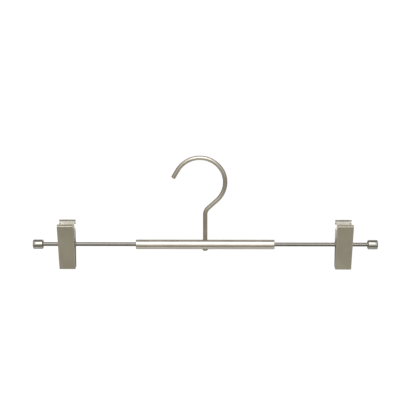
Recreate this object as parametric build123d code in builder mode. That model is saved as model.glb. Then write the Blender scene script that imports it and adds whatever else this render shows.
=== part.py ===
from build123d import *
from math import asin, atan2, cos, degrees, hypot, pi, radians, sin, sqrt, tan
import os

os.makedirs("parts", exist_ok=True)

# Trouser hanger: a swivelling wire hook, a centre tube, two thin rods and two sprung clips.
# The origin is the rail seat, inside the top of the hook's loop. +X runs along the bar, +Z is up
# and the front faces -Y.

# Bar: the tube, the rods that leave its ends, and the knobs on them
bar_length = 345.0
tube_dia = 9.7
tube_wall = 1.0
tube_length = 138.6
tube_edge = 0.35
rod_dia = 3.9
rod_in_tube = 24.0
plug_length = 20.0
plug_recess = 0.5
knob_dia = 9.5
knob_length = 10.0
knob_edge = 0.6
knob_bore_depth = 7.5
press_clearance = 0.02

# Hook: round wire, its loop, the lead down to the stem, and the peened head under the tube
wire_dia = 4.4
loop_radius = 25.0
loop_end_angle = 150.0
lead_turn_angle = 47.0
stem_offset = 5.35
stem_bend_radius = 10.0
tip_length = 9.2
tip_edge = 0.4
loop_centre_to_rod = 64.8
swivel_clearance = 0.08
head_dia = 5.4
head_height = 1.2
head_edge = 0.35
head_gap = 0.06

# Clip: two bent sheet jaws, which lean apart above the rod and close below it
clip_rest_gap = 15.7
clip_width = 16.3
sheet = 0.9
inner_bend = 0.25
outer_bend = 0.5
handle_length = 23.85
jaw_length = 24.45
handle_spread = 22.0
jaw_thickness = 8.0
jaw_gap = 2.4
lip_depth = 4.6
lip_relief = 0.1
flange_top_depth = 3.0
flange_waist_depth = 6.1
flange_top_drop = 4.4
flange_relief = 1.4
waist_half_height = 5.5
ear_radius = 4.2
ear_gap = 0.35
ear_side_gap = 0.15
joggle_run = 1.0
joggle_root = 0.4

# Pivot sleeve: the hollow rivet that the ears turn on and the rod runs through
sleeve_dia = 5.0
slide_clearance = 0.05
pivot_clearance = 0.05
sleeve_head_dia = 6.8
sleeve_head_thickness = 0.5

# Torsion spring round the sleeve, with one leg up each handle
spring_wire_dia = 1.2
spring_wire_sides = 8
spring_turns = 2
spring_sleeve_gap = 0.35
spring_turn_gap = 0.75
spring_plate_gap = 0.25
spring_leg_length = 16.0

# Grip pads in the jaw ends
pad_height = 11.5
pad_gap = 0.3
pad_end_inset = 0.4
pad_corner = 0.5
pad_groove_depth = 0.5
pad_groove_pitch = 1.9
pad_groove_count = 5

# Sizes that follow from those above
tube_radius = tube_dia / 2
tube_bore = tube_radius - tube_wall
rod_radius = rod_dia / 2
wire_radius = wire_dia / 2
half_bar = bar_length / 2
half_tube = tube_length / 2
loop_centre_z = wire_radius - loop_radius
rod_z = loop_centre_z - loop_centre_to_rod
bend_reach = sheet + inner_bend
half_width = clip_width / 2
clip_distance = half_bar - knob_length - clip_rest_gap - half_width
lean = asin((handle_spread - jaw_thickness) / 2 / (handle_length + jaw_length))
plate_reach = (jaw_thickness / 2 + jaw_length * sin(lean)) / cos(lean)
plate_inner = plate_reach - sheet
sleeve_radius = sleeve_dia / 2
inner_ear_face = half_width - sheet - ear_side_gap
spring_radius = sleeve_radius + spring_sleeve_gap + spring_wire_dia / 2


def save(part, name):
    part.label = name
    export_step(part, f"parts/{name}.step")


# Hook: one length of wire, bent to the loop and peened over below the tube
lead_turn = radians(lead_turn_angle)
loop_start = (loop_radius * cos(lead_turn), loop_centre_z - loop_radius * sin(lead_turn))
lead_drop = (loop_start[0] - stem_offset) / tan(lead_turn)
bend_point = (stem_offset, loop_start[1] - lead_drop)
stem_foot = rod_z - tube_radius - head_gap
end_angle = radians(loop_end_angle)
loop_end = (loop_radius * cos(end_angle), loop_centre_z + loop_radius * sin(end_angle))
tip = (loop_end[0] - tip_length * sin(end_angle), loop_end[1] + tip_length * cos(end_angle))

with BuildPart() as hook:
    with BuildLine(Plane.XZ) as wire_path:
        FilletPolyline((stem_offset, stem_foot), bend_point, loop_start, radius=stem_bend_radius)
        CenterArc((0, loop_centre_z), loop_radius, -lead_turn_angle, lead_turn_angle + loop_end_angle)
        Line(loop_end, tip)
    with BuildSketch(Plane(origin=(stem_offset, 0, stem_foot), z_dir=(0, 0, 1))):
        Circle(wire_radius)
    sweep(path=wire_path.wires()[0])
    chamfer(hook.edges().filter_by(GeomType.CIRCLE).sort_by(Axis.X)[0], tip_edge)
    with BuildSketch(Plane(origin=(stem_offset, 0, stem_foot), z_dir=(0, 0, 1))):
        Circle(head_dia / 2)
    extrude(amount=-head_height)
    chamfer(hook.edges().sort_by(Axis.Z)[0], head_edge)
save(hook.part, "hook")


# Centre tube: drawn tube, cross drilled for the stem
with BuildPart() as centre_tube:
    with BuildSketch(Plane(origin=(stem_offset, 0, rod_z), x_dir=(0, 1, 0), z_dir=(1, 0, 0))):
        Circle(tube_radius)
        Circle(tube_bore, mode=Mode.SUBTRACT)
    extrude(amount=half_tube, both=True)
    chamfer(centre_tube.edges().filter_by(GeomType.CIRCLE).group_by(SortBy.RADIUS)[-1], tube_edge)
    with BuildSketch(Plane(origin=(stem_offset, 0, rod_z), z_dir=(0, 0, 1))):
        Circle(wire_radius + swivel_clearance)
    extrude(amount=tube_dia, both=True, mode=Mode.SUBTRACT)
save(centre_tube.part, "centre_tube")


def across_bar(side, distance):
    """A plane square to the bar, that far from its middle and facing the end on that side."""
    return Plane(origin=(stem_offset + side * distance, 0, rod_z), x_dir=(0, 1, 0), z_dir=(side, 0, 0))


def tube_plug(side):
    """Plug pressed into the tube's end, which holds the rod on the tube's axis."""
    with BuildPart() as plug:
        with BuildSketch(across_bar(side, half_tube - plug_recess)):
            Circle(tube_bore - press_clearance)
        extrude(amount=-plug_length)
        with BuildSketch(across_bar(side, half_tube - plug_recess)):
            Circle(rod_radius + press_clearance)
        extrude(amount=-plug_length, mode=Mode.SUBTRACT)
    return plug.part


def rod(side):
    """Thin rod, from inside the tube to inside the end knob."""
    with BuildPart() as bar:
        with BuildSketch(across_bar(side, half_tube - rod_in_tube)):
            Circle(rod_radius)
        extrude(amount=half_bar - knob_length + knob_bore_depth - half_tube + rod_in_tube)
    return bar.part


def end_knob(side):
    """Turned knob pressed on the rod's end, which keeps the clip on."""
    with BuildPart() as knob:
        with BuildSketch(across_bar(side, half_bar)):
            Circle(knob_dia / 2)
        extrude(amount=-knob_length)
        chamfer(knob.edges().filter_by(GeomType.CIRCLE), knob_edge)
        with BuildSketch(across_bar(side, half_bar - knob_length)):
            Circle(rod_radius + press_clearance)
        extrude(amount=knob_bore_depth, mode=Mode.SUBTRACT)
    return knob.part


def jaw_frame(clip_x, side):
    """A jaw's own frame on the pivot: X along the rod, Y in from its plate and Z up its plate.
    The front jaw has side -1 and the rear jaw 1."""
    return Plane(origin=(clip_x, 0, rod_z), x_dir=(-side, 0, 0), z_dir=(0, side * sin(lean), cos(lean)))


def side_view(frame):
    """The plane that a jaw is seen on from its end, with the frame's Y across and its Z up."""
    return Plane(origin=frame.origin, x_dir=frame.y_dir, z_dir=frame.x_dir)


def reach_in(height, gap):
    """How far in a jaw's edge may come at that height, to leave half the gap to the clip's middle."""
    return (height * sin(lean) - gap / 2) / cos(lean)


def jaw_outline():
    """Side view of plate and flanges: the closed jaw, the waist at the pivot and the handle."""
    Polyline(
        (-plate_reach, -jaw_length),
        (reach_in(-jaw_length, jaw_gap), -jaw_length),
        (reach_in(-waist_half_height, jaw_gap), -waist_half_height),
        (flange_waist_depth - plate_reach, waist_half_height),
        (flange_top_depth - plate_reach, handle_length - flange_top_drop),
        (-plate_inner, handle_length - flange_top_drop + flange_relief),
        (-plate_inner, handle_length - 2 * bend_reach),
        (-plate_reach, handle_length - 2 * bend_reach),
        close=True,
    )


def lip_outline():
    """Side view of the lip that is folded in along the handle's top edge."""
    Polyline(
        (-plate_reach, handle_length - 2 * bend_reach),
        (-plate_reach, handle_length),
        (lip_depth - plate_reach, handle_length),
        (lip_depth - plate_reach, handle_length - sheet),
        (-plate_inner, handle_length - sheet),
        (-plate_inner, handle_length - 2 * bend_reach),
        close=True,
    )


# The joggle carries the rear jaw's ears in by one sheet and a side gap
joggle_in = sheet + ear_side_gap
joggle_skew = sheet / 2 * tan(atan2(joggle_in, joggle_run) / 2)
joggle_end = -ear_radius - ear_gap
joggle_start = joggle_end - joggle_run


def joggled_ears(frame):
    """The rear jaw's pair of ears, from their roots in the flanges to their round ends."""
    with BuildPart() as ears:
        with BuildSketch(frame.offset(-ear_radius)):
            with BuildLine():
                Polyline(
                    (half_width, joggle_start - joggle_root),
                    (half_width, joggle_start),
                    (inner_ear_face, joggle_end),
                    (inner_ear_face, ear_radius),
                    (inner_ear_face - sheet, ear_radius),
                    (inner_ear_face - sheet, joggle_end - 2 * joggle_skew),
                    (half_width - sheet, joggle_start - 2 * joggle_skew),
                    (half_width - sheet, joggle_start - joggle_root),
                    close=True,
                )
            make_face()
            mirror(about=Plane.YZ)
        extrude(amount=2 * ear_radius)
        with BuildSketch(side_view(frame)):
            Circle(ear_radius)
            with Locations((-plate_inner / 2, 0)):
                Rectangle(plate_inner, 2 * ear_radius)
        extrude(amount=clip_width, both=True, mode=Mode.INTERSECT)
    return ears.part


def jaw(frame, ears_inside):
    """One sheet jaw, with its plate, flanges, lip and drilled ears."""
    depth = plate_reach + 2 * ear_radius
    with BuildPart() as blank:
        with BuildSketch(frame.offset(-jaw_length)) as channel:
            with Locations((0, depth / 2 - plate_reach)):
                Rectangle(clip_width, depth)
            fillet(channel.vertices().group_by(Axis.Y)[0], outer_bend)
            with Locations((0, depth / 2 - plate_inner)):
                Rectangle(clip_width - 2 * sheet, depth, mode=Mode.SUBTRACT)
            chamfer(channel.vertices().group_by(Axis.Y)[1], inner_bend)
        extrude(amount=jaw_length + handle_length)
        with BuildSketch(side_view(frame)):
            with BuildLine():
                jaw_outline()
            make_face()
            if ears_inside:
                Circle(ear_radius + ear_gap, mode=Mode.SUBTRACT)
                with Locations((joggle_start / 2, 0)):
                    Rectangle(-joggle_start, 2 * (ear_radius + ear_gap), mode=Mode.SUBTRACT)
            else:
                Circle(ear_radius)
                with Locations((-plate_inner / 2, 0)):
                    Rectangle(plate_inner, 2 * ear_radius)
        extrude(amount=clip_width, both=True, mode=Mode.INTERSECT)
        with BuildSketch(side_view(frame)) as lip:
            with BuildLine():
                lip_outline()
            make_face()
            fillet(lip.vertices().group_by(Axis.Y)[-1].sort_by(Axis.X)[0], outer_bend)
            chamfer(lip.vertices().group_by(Axis.Y)[-2].sort_by(Axis.X)[0], inner_bend)
        extrude(amount=half_width - lip_relief, both=True)
        if ears_inside:
            add(joggled_ears(frame))
        with BuildSketch(side_view(frame)):
            Circle(sleeve_radius + pivot_clearance)
        extrude(amount=clip_width, both=True, mode=Mode.SUBTRACT)
    return blank.part


def grip_pad(frame):
    """Wedge of soft rubber in a jaw's end, upright and ribbed on its gripping face."""
    top = pad_height - jaw_length
    foot = pad_end_inset - jaw_length
    with BuildPart() as pad:
        with BuildSketch(side_view(frame)) as wedge:
            with BuildLine():
                Polyline(
                    (-plate_inner, foot),
                    (reach_in(foot, pad_gap), foot),
                    (reach_in(top, pad_gap), top),
                    (-plate_inner, top),
                    close=True,
                )
            make_face()
            fillet(wedge.vertices().sort_by(Axis.X)[-2:], pad_corner)
            for groove in range(pad_groove_count):
                height = (top + foot) / 2 + (groove - (pad_groove_count - 1) / 2) * pad_groove_pitch
                with Locations((reach_in(height, pad_gap), height)):
                    RegularPolygon(pad_groove_depth, 4, mode=Mode.SUBTRACT)
        extrude(amount=half_width - bend_reach, both=True)
    return pad.part


def pivot_sleeve(clip_x):
    """Hollow rivet through the four ears, flared over outside them."""
    reach = half_width + ear_side_gap
    with BuildPart() as sleeve:
        across = Plane(origin=(clip_x, 0, rod_z), x_dir=(0, 1, 0), z_dir=(1, 0, 0))
        with BuildSketch(across):
            Circle(sleeve_radius)
        extrude(amount=reach, both=True)
        for head in (across.offset(reach), across.offset(-reach - sleeve_head_thickness)):
            with BuildSketch(head):
                Circle(sleeve_head_dia / 2)
            extrude(amount=sleeve_head_thickness)
        with BuildSketch(across):
            Circle(rod_radius + slide_clearance)
        extrude(amount=clip_width, both=True, mode=Mode.SUBTRACT)
    return sleeve.part


def biarc(start, start_way, end, end_way):
    """Two arcs that leave start and reach end along the given ways, and meet smoothly."""
    span = end - start
    way = start_way + end_way
    square = 2 * (start_way.dot(end_way) - 1)
    slope = -2 * span.dot(way)
    reach = (-slope - sqrt(slope**2 - 4 * square * span.dot(span))) / (2 * square)
    first, last = start + start_way * reach, end - end_way * reach
    middle = (first + last) / 2
    TangentArc(start, middle, tangent=start_way)
    TangentArc(middle, end, tangent=(last - first).normalized())


def spring_path(clip_x):
    """The spring's wire: down the rear handle, round the sleeve, and up the front handle."""
    clearance = plate_inner - spring_plate_gap - spring_wire_dia / 2
    leg_reach = hypot(spring_radius, spring_leg_length)
    leg_lean = lean + asin(clearance / leg_reach) - atan2(spring_radius, spring_leg_length)
    angle = 2 * pi * spring_turns + pi - 2 * leg_lean
    steps = round(angle / (pi / 2))
    width = (spring_wire_dia + spring_turn_gap) * angle / (2 * pi)
    rise = width / (steps - 1)

    def station(step):
        turn = -leg_lean - angle * step / steps
        along = max(0, min(width, rise * (step - 1 / 2)))
        climb = 0 if step in (0, steps) else rise / (spring_radius * angle / steps)
        out, up = spring_radius * cos(turn), spring_radius * sin(turn)
        place = Vector(clip_x - width / 2 + along, out, rod_z + up)
        return place, Vector(climb, sin(turn), -cos(turn)).normalized()

    with BuildLine() as path:
        start, way = station(0)
        Line(start - way * spring_leg_length, start)
        for step in range(steps):
            biarc(*station(step), *station(step + 1))
        end, way = station(steps)
        Line(end, end + way * spring_leg_length)
    return path.wires()[0]


def torsion_spring(path):
    """Spring wire, swept as one unbroken tube."""
    with BuildPart() as spring:
        with BuildSketch(Plane(origin=path @ 0, z_dir=path % 0)) as section:
            RegularPolygon(spring_wire_dia / 2, spring_wire_sides)
        sweep(path=path)
    print(f"Spring volume {spring.part.volume:.1f}, area by length {section.sketch.area * path.length:.1f}")
    return spring.part


def least_gap(path):
    """The spring's least gap to itself, between points that are over half a turn apart."""
    count = int(path.length / (spring_wire_dia / 2))
    apart = int(pi * spring_radius / (spring_wire_dia / 2))
    points = [path @ (step / count) for step in range(count + 1)]
    gaps = [(a - b).length for i, a in enumerate(points) for b in points[i + apart :]]
    return min(gaps) - spring_wire_dia


for side, name in ((-1, "left"), (1, "right")):
    save(tube_plug(side), f"{name}_tube_plug")
    save(rod(side), f"{name}_rod")
    save(end_knob(side), f"{name}_end_knob")
    clip_x = stem_offset + side * clip_distance
    save(jaw(jaw_frame(clip_x, -1), False), f"{name}_front_jaw")
    save(jaw(jaw_frame(clip_x, 1), True), f"{name}_rear_jaw")
    save(grip_pad(jaw_frame(clip_x, -1)), f"{name}_front_pad")
    save(grip_pad(jaw_frame(clip_x, 1)), f"{name}_rear_pad")
    save(pivot_sleeve(clip_x), f"{name}_pivot_sleeve")
    wire = spring_path(clip_x)
    save(torsion_spring(wire), f"{name}_torsion_spring")
    print(f"Spring's least gap to itself {least_gap(wire):.2f} mm")
print(f"Lean {degrees(lean):.2f} degrees, rod at z {rod_z:.2f}, plate reach {plate_reach:.2f}")
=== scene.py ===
from math import cos, pi, radians, sin, tau

import bmesh
import bpy
from mathutils import Matrix, Quaternion, Vector


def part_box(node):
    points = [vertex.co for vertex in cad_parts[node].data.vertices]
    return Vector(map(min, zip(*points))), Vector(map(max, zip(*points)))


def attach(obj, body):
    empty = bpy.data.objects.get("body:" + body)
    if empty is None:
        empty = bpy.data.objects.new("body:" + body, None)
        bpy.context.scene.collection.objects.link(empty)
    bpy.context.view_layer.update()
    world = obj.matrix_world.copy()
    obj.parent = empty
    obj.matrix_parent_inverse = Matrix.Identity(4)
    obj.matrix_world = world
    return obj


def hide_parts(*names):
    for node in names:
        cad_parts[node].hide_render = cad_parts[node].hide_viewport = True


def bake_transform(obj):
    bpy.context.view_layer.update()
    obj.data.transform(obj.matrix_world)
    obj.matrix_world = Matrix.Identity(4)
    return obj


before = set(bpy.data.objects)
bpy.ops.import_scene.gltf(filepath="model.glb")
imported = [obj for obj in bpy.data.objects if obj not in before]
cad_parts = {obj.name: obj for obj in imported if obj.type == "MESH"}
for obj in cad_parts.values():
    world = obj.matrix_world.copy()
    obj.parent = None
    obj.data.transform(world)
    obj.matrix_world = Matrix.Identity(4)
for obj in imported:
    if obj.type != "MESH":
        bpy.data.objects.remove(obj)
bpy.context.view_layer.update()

# Camera: a long lens a metre off, a little above the bar and just right of its middle, as the
# photograph was taken. One pixel is about a millimetre at the rods.
aim = Vector((0.0002, 0.0, -0.0410))
camera_distance = 1.05
camera_height_angle = radians(17.5)
camera_side_angle = radians(0.5)
camera_roll = radians(-0.08)
picture_width = 0.3957
sensor_width = 36.0

lens = bpy.data.cameras.new("camera")
lens.sensor_width = sensor_width
lens.lens = sensor_width * camera_distance / picture_width
camera = bpy.data.objects.new("camera", lens)
camera.location = aim + camera_distance * Vector((
    sin(camera_side_angle) * cos(camera_height_angle),
    -cos(camera_side_angle) * cos(camera_height_angle),
    sin(camera_height_angle),
))
level = (aim - camera.location).to_track_quat("-Z", "Y")
camera.rotation_euler = (level @ Quaternion((0, 0, 1), camera_roll)).to_euler()
bpy.context.collection.objects.link(camera)
bpy.context.scene.camera = camera
bpy.context.scene.view_settings.view_transform = "Standard"


# Studio: a white room with a pale floor well below the hanger and one broad softbox high in front.
# Round the hanger hang cards that show only in its reflections: bright ones in front and behind, a
# pale one underneath, and warm greys for the rest.
floor_drop = 0.45
floor_size = 14.0
floor_colour = (0.82, 0.82, 0.82, 1)
floor_roughness = 0.9
floor_lift = 0.32
softbox_size = 0.92
softbox_distance = 1.2
softbox_height_angle = radians(47.0)
softbox_power = 5.6
room_white = 1.0
room_fill = 0.85
white = (1, 1, 1, 1)
cards_half_width = 0.9
cards_front = -0.90
cards_back = 1.10
cards_bottom = -0.44
side_top = 0.80
fill_front = -0.95
fill_bottom = -0.15
fill_top = 0.38
low_top = -0.34
table_front = -0.28
table_back = 0.08
rim_bottom = 0.12
rim_top = 0.62
top_front = (-0.10, 1.00)
top_ridge = (0.50, 0.95)


def put(tree, socket, value):
    """Links a socket to the one given, or sets it to a plain value."""
    if isinstance(value, bpy.types.NodeSocket):
        tree.links.new(value, socket)
    else:
        socket.default_value = value


def add_node(tree, kind, settings=None, **inputs):
    """Adds a shader node, and sets or links its inputs by name, with _ for a space."""
    node = tree.nodes.new(kind)
    for name, value in (settings or {}).items():
        setattr(node, name, value)
    for name, value in inputs.items():
        put(tree, node.inputs[name.replace("_", " ")], value)
    return node


def add_maths(tree, operation, *values, kind="ShaderNodeMath"):
    """Adds a maths node, and sets or links its inputs in turn."""
    node = add_node(tree, kind, {"operation": operation})
    for socket, value in zip(node.inputs, values):
        put(tree, socket, value)
    return node


def bare_material(name):
    """A new material whose node tree is empty, and that tree."""
    material = bpy.data.materials.new(name)
    material.use_nodes = True
    material.node_tree.nodes.clear()
    return material, material.node_tree


def new_object(name, shape, material):
    """Makes a finished shape an object of the scene."""
    mesh = bpy.data.meshes.new(name)
    shape.to_mesh(mesh)
    shape.free()
    mesh.materials.append(material)
    thing = bpy.data.objects.new(name, mesh)
    bpy.context.collection.objects.link(thing)
    return thing


def of_kind(items, kind):
    """The vertices or the edges among what an operator gives back."""
    return [item for item in items if isinstance(item, kind)]


def seen_directly(tree):
    """One for rays from the camera, or by way of metal or glass, and none for the rest."""
    path = add_node(tree, "ShaderNodeLightPath").outputs
    mirrored = add_maths(tree, "MAXIMUM", path["Is Glossy Ray"], path["Is Transmission Ray"])
    return add_maths(tree, "MAXIMUM", path["Is Camera Ray"], mirrored.outputs[0]).outputs[0]


def light_room():
    world = bpy.data.worlds.new("room")
    world.use_nodes = True
    tree = world.node_tree
    tree.nodes.clear()
    strength = add_node(
        tree, "ShaderNodeMapRange", Value=seen_directly(tree), To_Min=room_fill, To_Max=room_white,
    )
    light = add_node(tree, "ShaderNodeBackground", Color=white, Strength=strength.outputs[0])
    add_node(tree, "ShaderNodeOutputWorld", Surface=light.outputs[0])
    bpy.context.scene.world = world


def add_floor():
    shape = bmesh.new()
    bmesh.ops.create_grid(shape, x_segments=1, y_segments=1, size=floor_size / 2)
    bmesh.ops.translate(shape, verts=shape.verts, vec=(0, 0, -floor_drop))
    paint, tree = bare_material("floor_paint")
    lift = add_maths(tree, "MULTIPLY", seen_directly(tree), floor_lift)
    shader = add_node(
        tree, "ShaderNodeBsdfPrincipled", Base_Color=floor_colour, Roughness=floor_roughness,
        Emission_Color=white, Emission_Strength=lift.outputs[0],
    )
    add_node(tree, "ShaderNodeOutputMaterial", Surface=shader.outputs[0])
    floor = new_object("floor", shape, paint)


def add_softbox():
    light = bpy.data.lights.new("softbox", "AREA")
    light.shape = "SQUARE"
    light.size = softbox_size
    light.energy = softbox_power
    softbox = bpy.data.objects.new("softbox", light)
    outward = Vector((0, -cos(softbox_height_angle), sin(softbox_height_angle)))
    softbox.location = aim + softbox_distance * outward
    softbox.rotation_euler = (aim - softbox.location).to_track_quat("-Z", "Y").to_euler()
    bpy.context.collection.objects.link(softbox)


def across(y, z):
    """A card's edge from side to side of the studio."""
    return (-cards_half_width, y, z), (cards_half_width, y, z)


def add_card(name, colour, edge, *folds):
    """A card that shows only in reflections, swept from its first edge over each fold in turn.
    An edge is given by its two ends."""
    shape = bmesh.new()
    side = shape.edges.new([shape.verts.new(end) for end in edge])
    for fold in folds:
        raised = bmesh.ops.extrude_edge_only(shape, edges=[side])["geom"]
        side = of_kind(raised, bmesh.types.BMEdge)[0]
        for vert, end in zip(side.verts, fold):
            vert.co = end
    paint, tree = bare_material(name)
    light = add_node(tree, "ShaderNodeEmission", Color=(*colour, 1))
    add_node(tree, "ShaderNodeOutputMaterial", Surface=light.outputs[0])
    card = new_object(name, shape, paint)
    card.visible_camera = False
    card.visible_diffuse = False
    card.visible_shadow = False


light_room()
add_floor()
add_softbox()
add_card("fill_card", (1.05, 1.04, 1.0), across(fill_front, fill_top), across(fill_front, fill_bottom))
add_card("front_card", (0.19, 0.18, 0.155), across(cards_front, fill_bottom), across(cards_front, low_top))
add_card(
    "low_card", (0.32, 0.30, 0.255), across(cards_front, low_top), across(cards_front, cards_bottom),
    across(table_front, cards_bottom),
)
add_card(
    "table_card", (0.80, 0.79, 0.77), across(table_front, cards_bottom), across(table_back, cards_bottom),
)
add_card(
    "back_card", (0.25, 0.24, 0.22), across(table_back, cards_bottom), across(cards_back, cards_bottom),
    across(cards_back, rim_bottom),
)
add_card("rim_card", (1.4, 1.39, 1.34), across(cards_back, rim_bottom), across(cards_back, rim_top))
add_card(
    "top_card", (0.32, 0.31, 0.30), across(*top_front), across(*top_ridge), across(cards_back, rim_top),
)
for side, wall in (("left", -cards_half_width), ("right", cards_half_width)):
    add_card(
        f"{side}_card", (0.30, 0.285, 0.255),
        ((wall, cards_front, cards_bottom), (wall, cards_front, side_top)),
        ((wall, cards_back, cards_bottom), (wall, cards_back, side_top)),
    )


# Hook: one length of 4.4 mm wire, bent cold and plated satin nickel. The rail rubs the top of its
# loop, and the stem's end is peened over under the tube.
hook_colour = (0.62, 0.58, 0.505)
rail_seat = Vector((0, 0, 0))
rail_rub = (0.012, 0.006, 0.0025)
grain_strength = 0.5
patch_range = (0.3, 0.7)
patch_shades = (0.95, 1.05)
# Rubbed places are worn smoother and painted lighter. On the jaws' lips the lighter colour is a painted
# highlight.
wear_and_highlight_brighter = 1.18
rubbed_breaks = 900.0
rubbed_fade = (0.55, 1.5)
mix_sockets = {"FLOAT": (2, 3, 0), "RGBA": (6, 7, 2)}


def new_group(name, vectors, numbers, results):
    """A node group with inputs for vectors and numbers, and outputs for numbers."""
    group = bpy.data.node_groups.new(name, "ShaderNodeTree")
    for vector in vectors:
        group.interface.new_socket(vector, in_out="INPUT", socket_type="NodeSocketVector")
    for number in numbers:
        group.interface.new_socket(number, in_out="INPUT", socket_type="NodeSocketFloat")
    for result in results:
        group.interface.new_socket(result, in_out="OUTPUT", socket_type="NodeSocketFloat")
    return group


def grain_group():
    """Metal's fine grain, drawn out by Stretch, and the broad patches of a hand-finished surface."""
    group = new_group(
        "metal_grain", ("Vector", "Stretch"), ("Grains per metre", "Patches per metre"), ("Grain", "Patches"),
    )
    given = group.nodes.new("NodeGroupInput").outputs
    drawn = add_maths(
        group, "MULTIPLY", given["Vector"], given["Stretch"], kind="ShaderNodeVectorMath",
    )
    grain = add_node(
        group, "ShaderNodeTexNoise", Vector=drawn.outputs[0], Scale=given["Grains per metre"],
        Detail=4.0, Roughness=0.6,
    )
    patches = add_node(
        group, "ShaderNodeTexNoise", Vector=given["Vector"], Scale=given["Patches per metre"],
        Detail=3.0, Roughness=0.55, Distortion=0.4,
    )
    add_node(group, "NodeGroupOutput", Grain=grain.outputs[0], Patches=patches.outputs[0])
    return group


def wear_and_highlight_group():
    """A rubbed patch, which metal() makes smoother and paints lighter: one at Centre, none beyond its reach,
    and broken up between.
    """
    group = new_group("wear_and_highlight_patch", ("Vector", "Centre", "Per reach"), ("Breaks per metre",), ("Rubbed",))
    given = group.nodes.new("NodeGroupInput").outputs
    away = add_maths(
        group, "SUBTRACT", given["Vector"], given["Centre"], kind="ShaderNodeVectorMath",
    )
    share = add_maths(
        group, "MULTIPLY", away.outputs[0], given["Per reach"], kind="ShaderNodeVectorMath",
    )
    distance = add_maths(group, "LENGTH", share.outputs[0], kind="ShaderNodeVectorMath")
    breaks = add_node(
        group, "ShaderNodeTexNoise", Vector=given["Vector"], Scale=given["Breaks per metre"], Detail=5.0,
    )
    broken = add_maths(group, "ADD", distance.outputs["Value"], breaks.outputs[0])
    whole, gone = rubbed_fade
    rubbed = add_node(
        group, "ShaderNodeMapRange", {"interpolation_type": "SMOOTHSTEP"}, Value=broken.outputs[0],
        From_Min=whole, From_Max=gone, To_Min=1.0, To_Max=0.0,
    )
    add_node(group, "NodeGroupOutput", Rubbed=rubbed.outputs[0])
    return group


metal_grain = grain_group()
wear_and_highlight_patch = wear_and_highlight_group()


def add_mix(tree, kind, factor, first, second):
    """Mixes two numbers or two colours, and gives the result's socket. mix_sockets holds where the
    node keeps its two inputs and its result for each kind."""
    mix = add_node(tree, "ShaderNodeMix", {"data_type": kind}, Factor=factor)
    first_socket, second_socket, result = mix_sockets[kind]
    put(tree, mix.inputs[first_socket], first)
    put(tree, mix.inputs[second_socket], second)
    return mix.outputs[result]


def shades_of(colour, darker, lighter):
    """A colour's darker and lighter neighbours, with alpha."""
    return (*[c * darker for c in colour], 1), (*[c * lighter for c in colour], 1)


def metal(name, colour, roughness, stretch, grains, patches, depth, rub=None):
    """A metal finish with its grain, its duller patches and, where given, a rubbed place that is smoother and
    painted lighter.
    roughness holds the smoothest and the dullest; rub holds centre, reach and roughness there."""
    finish, tree = bare_material(name)
    place = add_node(tree, "ShaderNodeTexCoord").outputs["Object"]
    grain = add_node(
        tree, "ShaderNodeGroup", {"node_tree": metal_grain}, Vector=place, Stretch=stretch,
        Grains_per_metre=grains, Patches_per_metre=patches,
    ).outputs
    lowest, highest = patch_range
    tone = add_node(
        tree, "ShaderNodeMapRange", Value=grain["Patches"], From_Min=lowest, From_Max=highest,
    )
    shade = add_mix(tree, "RGBA", tone.outputs[0], *shades_of(colour, *patch_shades))
    smoothest, dullest = roughness
    rough = add_node(
        tree, "ShaderNodeMapRange", Value=grain["Patches"], From_Min=lowest, From_Max=highest,
        To_Min=smoothest, To_Max=dullest,
    ).outputs[0]
    if rub:
        centre, reach, smooth = rub
        wear_and_highlight_share = add_node(
            tree, "ShaderNodeGroup", {"node_tree": wear_and_highlight_patch}, Vector=place, Centre=centre,
            Per_reach=[1 / r for r in reach], Breaks_per_metre=rubbed_breaks,
        ).outputs[0]
        bright = (*[min(1, c * wear_and_highlight_brighter) for c in colour], 1)
        rough = add_mix(tree, "FLOAT", wear_and_highlight_share, rough, smooth)
        shade = add_mix(tree, "RGBA", wear_and_highlight_share, shade, bright)
    bump = add_node(tree, "ShaderNodeBump", Height=grain["Grain"], Strength=grain_strength, Distance=depth)
    shader = add_node(
        tree, "ShaderNodeBsdfPrincipled", Base_Color=shade, Metallic=1.0, Roughness=rough,
        Normal=bump.outputs[0],
    )
    add_node(tree, "ShaderNodeOutputMaterial", Surface=shader.outputs[0])
    return finish


def finish_node(node, finish):
    """Gives a CAD node's own mesh its finish."""
    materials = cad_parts[node].data.materials
    materials.clear()
    materials.append(finish)


finish_node("hook", metal(
    "satin_hook_wire", hook_colour, roughness=(0.28, 0.34), stretch=(1, 1, 1), grains=2600.0,
    patches=55.0, depth=0.00001, rub=(rail_seat, rail_rub, 0.14),
))


# Centre tube: 9.7 mm drawn tube, ground satin in fine lines round it, then plated. The stem goes
# through two drilled holes.
tube_colour = (0.63, 0.595, 0.52)

finish_node("centre_tube", metal(
    "satin_tube_plating", tube_colour, roughness=(0.29, 0.34), stretch=(1, 0.04, 0.04), grains=9000.0,
    patches=40.0, depth=0.00001,
))


# Plugs: dark grey plastic bushes that centre the rods on the tube's axis. They are moulded with a
# fine matt skin and pressed into the tube's ends.
plug_colour = (0.16, 0.155, 0.15)


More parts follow.
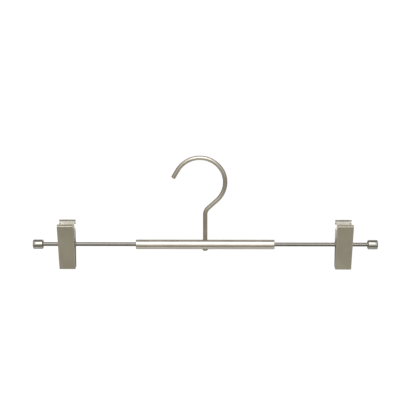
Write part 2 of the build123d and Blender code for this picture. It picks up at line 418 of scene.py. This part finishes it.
def moulded(name, colour, shades, grains, patches, dulled_by, roughness, strength, depth):
    """A moulded finish. dulled_by says which of the grain's patterns its roughness follows."""
    finish, tree = bare_material(name)
    place = add_node(tree, "ShaderNodeTexCoord").outputs["Object"]
    grain = add_node(
        tree, "ShaderNodeGroup", {"node_tree": metal_grain}, Vector=place, Stretch=(1, 1, 1),
        Grains_per_metre=grains, Patches_per_metre=patches,
    ).outputs
    shade = add_mix(tree, "RGBA", grain["Patches"], *shades_of(colour, *shades))
    smoothest, dullest = roughness
    rough = add_node(
        tree, "ShaderNodeMapRange", Value=grain[dulled_by], To_Min=smoothest, To_Max=dullest,
    )
    bump = add_node(tree, "ShaderNodeBump", Height=grain["Grain"], Strength=strength, Distance=depth)
    shader = add_node(
        tree, "ShaderNodeBsdfPrincipled", Base_Color=shade, Roughness=rough.outputs[0],
        Normal=bump.outputs[0],
    )
    add_node(tree, "ShaderNodeOutputMaterial", Surface=shader.outputs[0])
    return finish


plug_plastic = moulded(
    "moulded_plug_plastic", plug_colour, shades=(0.85, 1.15), grains=4200.0, patches=160.0,
    dulled_by="Grain", roughness=(0.42, 0.62), strength=0.4, depth=0.00004,
)
for side in ("left", "right"):
    finish_node(f"{side}_tube_plug", plug_plastic)


# Rods: 3.9 mm drawn steel rod, polished along its length and pressed into the tube's plugs. The
# clips' sleeves scuff it where they slide.
rod_colour = (0.22, 0.21, 0.19)
sleeve_scuff = (0.03, 0.004, 0.004)

for side in ("left", "right"):
    low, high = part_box(f"{side}_pivot_sleeve")
    finish_node(f"{side}_rod", metal(
        f"{side}_polished_rod", rod_colour, roughness=(0.13, 0.21), stretch=(0.03, 1, 1), grains=8000.0,
        patches=70.0, depth=0.00001, rub=((low + high) / 2, sleeve_scuff, 0.28),
    ))


# End knobs: turned from 9.5 mm bar with rounded rims, drilled part way, plated bright, and pressed
# on the rods' ends to keep the clips on.
knob_colour = (0.43, 0.415, 0.375)
knob_sides = 64
knob_edge = 0.0011
knob_edge_steps = 6
knob_bore = 0.00197
knob_bore_depth = 0.0075
rim_angle = radians(60)
smooth_angle = radians(30)

bright_plating = metal(
    "bright_knob_plating", knob_colour, roughness=(0.06, 0.11), stretch=(0.2, 1, 1), grains=3000.0,
    patches=120.0, depth=0.000004,
)


def new_piece(name, shape, finish):
    """Makes a finished shape a piece of the hanger, smooth but for its real edges."""
    bmesh.ops.recalc_face_normals(shape, faces=shape.faces)
    piece = new_object(name, shape, finish)
    piece.data.shade_smooth()
    piece.data.set_sharp_from_angle(angle=smooth_angle)
    return piece


def turned_knob(side):
    low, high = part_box(f"{side}_end_knob")
    middle, size = (low + high) / 2, high - low
    outward = -1 if side == "left" else 1
    shape = bmesh.new()
    bmesh.ops.create_cone(
        shape, cap_ends=True, segments=knob_sides, radius1=size.z / 2, radius2=size.z / 2, depth=size.x,
    )
    rims = [edge for edge in shape.edges if edge.calc_face_angle() > rim_angle]
    bmesh.ops.bevel(
        shape, geom=rims, offset=knob_edge, segments=knob_edge_steps, profile=0.5, affect="EDGES",
        material=-1,
    )
    inner_face = min(shape.faces, key=lambda face: face.calc_center_median().z)
    bore_rim = size.z / 2 - knob_edge - knob_bore
    bmesh.ops.inset_region(shape, faces=[inner_face], thickness=bore_rim, use_even_offset=True)
    bore = bmesh.ops.extrude_face_region(shape, geom=[inner_face])["geom"]
    bmesh.ops.delete(shape, geom=[inner_face], context="FACES_ONLY")
    bmesh.ops.translate(shape, verts=of_kind(bore, bmesh.types.BMVert), vec=(0, 0, knob_bore_depth))
    turn = Matrix.Rotation(outward * pi / 2, 4, "Y")
    bmesh.ops.transform(shape, verts=shape.verts, matrix=Matrix.Translation(middle) @ turn)
    knob = new_piece(f"{side}_turned_knob", shape, bright_plating)
    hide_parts(f"{side}_end_knob")
    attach(knob, "bar")


for side in ("left", "right"):
    turned_knob(side)


# Clip jaws: 0.9 mm sheet steel, sheared, folded, brushed outside and plated. The inner faces keep the sheet's
# own smooth skin and are painted far lighter than the outside as painted light. The lips' cut edges and the
# strip just under them are duller and painted dark as painted shade. Fingers rub the lips' tops, which are
# painted lighter there as a painted highlight.
jaw_colour = (0.60, 0.57, 0.47)
# The inner faces' colour is painted light: far lighter than the outer plating, standing for the light inside
# the clip.
inner_painted_light_colour = (0.91, 0.895, 0.85)
# The cut edges and the inward faces just under the lips' tops are painted dark: painted shade under the lip.
lip_cut_shade_colour = (0.33, 0.315, 0.28)
tumbled_edge = 0.00016
edge_steps = 2
sheared_angle = radians(35)
flat_angle = radians(0.5)
weld_distance = 1e-6
# How far below the top the painted shade reaches.
cut_shade_height = 0.0011
lip_middle = 0.0022
# The lips' tops are worn, and are painted lighter there as a painted highlight.
lip_wear_and_highlight = (0.018, 0.0045, 0.004)
facing_share = 0.5
painted_light_slot, cut_shade_slot = 1, 2


def eased_copy(node, name, finish, edge):
    """A copy of a CAD node's shape with its sheared or moulded edges eased, which stands for it."""
    shape = bmesh.new()
    shape.from_mesh(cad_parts[node].data)
    bmesh.ops.remove_doubles(shape, verts=shape.verts, dist=weld_distance)
    bmesh.ops.dissolve_limit(shape, angle_limit=flat_angle, verts=shape.verts, edges=shape.edges)
    piece = new_piece(name, shape, finish)
    easing = piece.modifiers.new("eased_edges", "BEVEL")
    easing.width = edge
    easing.segments = edge_steps
    easing.limit_method = "ANGLE"
    easing.angle_limit = sheared_angle
    easing.use_clamp_overlap = True
    easing.harden_normals = True
    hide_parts(node)
    return piece


# Inner faces: the smooth plating, painted lighter as painted light.
painted_light_plating = metal(
    "inner_jaw_painted_light", inner_painted_light_colour, roughness=(0.26, 0.32), stretch=(1, 1, 1), grains=5200.0,
    patches=60.0, depth=0.000005,
)
# Cut edges: duller, and painted dark as painted shade.
edge_cut_and_shade = metal(
    "jaw_cut_and_shade", lip_cut_shade_colour, roughness=(0.40, 0.50), stretch=(1, 0.05, 1), grains=5200.0,
    patches=90.0, depth=0.00002,
)
for side in ("left", "right"):
    for face in ("front", "rear"):
        low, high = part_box(f"{side}_{face}_jaw")
        lip_y = low.y + lip_middle if face == "front" else high.y - lip_middle
        lip = Vector(((low.x + high.x) / 2, lip_y, high.z))
        plating = metal(
            f"{side}_{face}_jaw_plating", jaw_colour, roughness=(0.36, 0.42), stretch=(1, 1, 0.05),
            grains=5200.0, patches=60.0, depth=0.00001, rub=(lip, lip_wear_and_highlight, 0.20),
        )
        jaw = eased_copy(f"{side}_{face}_jaw", f"{side}_{face}_plated_jaw", plating, tumbled_edge)
        jaw.data.materials.append(painted_light_plating)
        jaw.data.materials.append(edge_cut_and_shade)
        inward = Vector((0, 1 if face == "front" else -1, 0))
        # Inward faces get the painted-light plating, and those near the lips' tops get the painted shade.
        for facet in jaw.data.polygons:
            if facet.normal.dot(inward) > facing_share:
                facet.material_index = cut_shade_slot if facet.center.z > high.z - cut_shade_height else painted_light_slot
        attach(jaw, f"{side}_clip_{face}")


# Pivot sleeves: hollow steel rivets through the clips' four ears, flared over outside them. They
# slide and turn on the rods, and are plated.
rivet_colour = (0.46, 0.445, 0.41)
flare_edge = 0.00018

rivet_plating = metal(
    "rivet_plating", rivet_colour, roughness=(0.22, 0.34), stretch=(0.2, 1, 1), grains=5000.0,
    patches=300.0, depth=0.00001,
)
for side in ("left", "right"):
    sleeve = eased_copy(f"{side}_pivot_sleeve", f"{side}_flared_sleeve", rivet_plating, flare_edge)
    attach(sleeve, f"{side}_slider")


# Torsion springs: 1.2 mm round spring wire, wound nearly two and a half turns round the sleeve. One
# leg lies up each handle, and the coil twists as the front jaw opens.
spring_colour = (0.40, 0.39, 0.37)
wire_dia = 0.0012
wire_sides = 20
spring_turns = 2
coil_radius = 0.00345
turn_pitch = 0.00195
leg_length = 0.016
leg_lean = radians(17.18)
turn_steps = 44

spring_plating = metal(
    "zinc_spring_wire", spring_colour, roughness=(0.26, 0.40), stretch=(1, 1, 1), grains=4200.0,
    patches=400.0, depth=0.00001,
)


def wound_spring(side):
    low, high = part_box(f"{side}_pivot_sleeve")
    pivot = (low + high) / 2
    angle = tau * spring_turns + pi - 2 * leg_lean
    width = turn_pitch * angle / tau
    steps = round(turn_steps * angle / tau)
    start = pivot + Vector((-width / 2, coil_radius * cos(leg_lean), -coil_radius * sin(leg_lean)))
    upward = Vector((0, sin(leg_lean), cos(leg_lean)))
    shape = bmesh.new()
    facing = upward.to_track_quat("Z", "X").to_matrix().to_4x4()
    bmesh.ops.create_circle(
        shape, cap_ends=False, segments=wire_sides, radius=wire_dia / 2,
        matrix=Matrix.Translation(start + upward * leg_length) @ facing,
    )
    leg = bmesh.ops.extrude_edge_only(shape, edges=shape.edges[:])["geom"]
    bmesh.ops.translate(shape, verts=of_kind(leg, bmesh.types.BMVert), vec=-upward * leg_length)
    coil = bmesh.ops.spin(
        shape, geom=of_kind(leg, bmesh.types.BMEdge), cent=pivot, axis=(1, 0, 0), angle=-angle,
        steps=steps, dvec=(width / steps, 0, 0), use_duplicate=False,
    )["geom_last"]
    end = bmesh.ops.extrude_edge_only(shape, edges=of_kind(coil, bmesh.types.BMEdge))["geom"]
    bmesh.ops.translate(
        shape, verts=of_kind(end, bmesh.types.BMVert), vec=Vector((0, -upward.y, upward.z)) * leg_length,
    )
    bmesh.ops.remove_doubles(shape, verts=shape.verts, dist=weld_distance)
    bmesh.ops.holes_fill(shape, edges=[edge for edge in shape.edges if edge.is_boundary])
    spring = new_piece(f"{side}_wound_spring", shape, spring_plating)
    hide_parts(f"{side}_torsion_spring")
    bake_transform(spring)


for side in ("left", "right"):
    wound_spring(side)


# Grip pads: soft dark rubber, moulded as ribbed wedges and glued into the jaws' ends, where they
# hold the cloth.
rubber_colour = (0.055, 0.053, 0.05)
moulded_edge = 0.00022

rubber = moulded(
    "grip_pad_rubber", rubber_colour, shades=(0.8, 1.3), grains=3600.0, patches=240.0,
    dulled_by="Patches", roughness=(0.55, 0.8), strength=0.5, depth=0.00005,
)
for side in ("left", "right"):
    for face in ("front", "rear"):
        pad = eased_copy(f"{side}_{face}_pad", f"{side}_{face}_grip", rubber, moulded_edge)
        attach(pad, f"{side}_clip_{face}")
